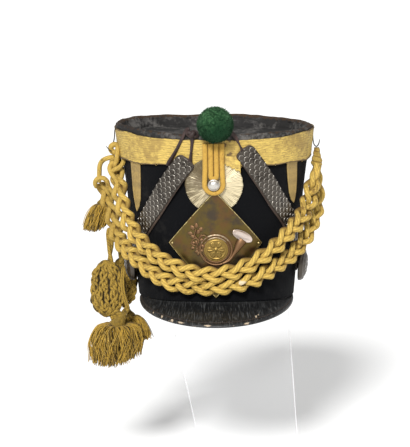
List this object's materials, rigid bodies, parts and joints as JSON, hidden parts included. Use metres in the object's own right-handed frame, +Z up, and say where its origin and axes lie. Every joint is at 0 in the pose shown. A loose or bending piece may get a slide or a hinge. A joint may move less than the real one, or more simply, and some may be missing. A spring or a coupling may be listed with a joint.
{
  "type": "shako hat on a clear display stand",
  "caption": "Tall felt shako with sunken leather crown, peak, gold lace, horn plate, tied-up chin scales, plaited cap lines with raquettes and tassels, on a clear sheet stand.",
  "frame": {"origin": "on the floor, under the hat's axis, in the underside of the stand's base", "axes": "+Z up, the hat's front faces -Y, +X to the right of someone looking at its front"},
  "size_m": [0.2713, 0.2646, 0.4191],
  "materials": {
    "felt": "worn black felt",
    "crown_leather": "scuffed dull black",
    "peak_leather": "crackled black",
    "brown_leather": "old dark brown",
    "lace": "soiled gold lace",
    "yellow_cord": "worn yellow cord",
    "olive_cord": "aged gold cord",
    "green_wool": "clipped wool",
    "cockade_silk": "pleated, stained",
    "brass": "tarnished sheet",
    "dark_metal": "dark tarnish",
    "silver": "worn silver",
    "wire": "dull",
    "clear_sheet": "polished clear"
  },
  "bodies": {
    "root": {"felt_body": "felt", "leather_crown": "crown_leather", "top_lace": "lace", "peak": "peak_leather", "side_strip_left": "lace", "side_strip_right": "lace", "cockade": "cockade_silk", "front_plate": "brass", "loop_button": "silver", "pompom": "green_wool", "pompom_wire": "wire", "loop_outer": "yellow_cord", "loop_inner": "yellow_cord", "chin_strap_left": "brown_leather", "chin_scales_left": "dark_metal", "chin_strap_right": "brown_leather", "chin_scales_right": "dark_metal", "boss_left": "dark_metal", "boss_right": "dark_metal", "tie_knot": "brown_leather", "tie_left_outer": "brown_leather", "tie_left_inner": "brown_leather", "tie_right": "brown_leather", "hook_left": "wire", "hook_right": "wire", "swag_upper": "yellow_cord", "swag_lower": "yellow_cord", "cord_loop_left": "yellow_cord", "drop_cord_front": "olive_cord", "drop_cord_back": "olive_cord", "cord_ring_left": "yellow_cord", "cord_knot_right": "yellow_cord", "raquette_front": "olive_cord", "raquette_back": "olive_cord", "tassel_front": "olive_cord", "tassel_back": "olive_cord", "tassel_side": "olive_cord", "display_stand": "clear_sheet"}
  },
  "joints": []
}
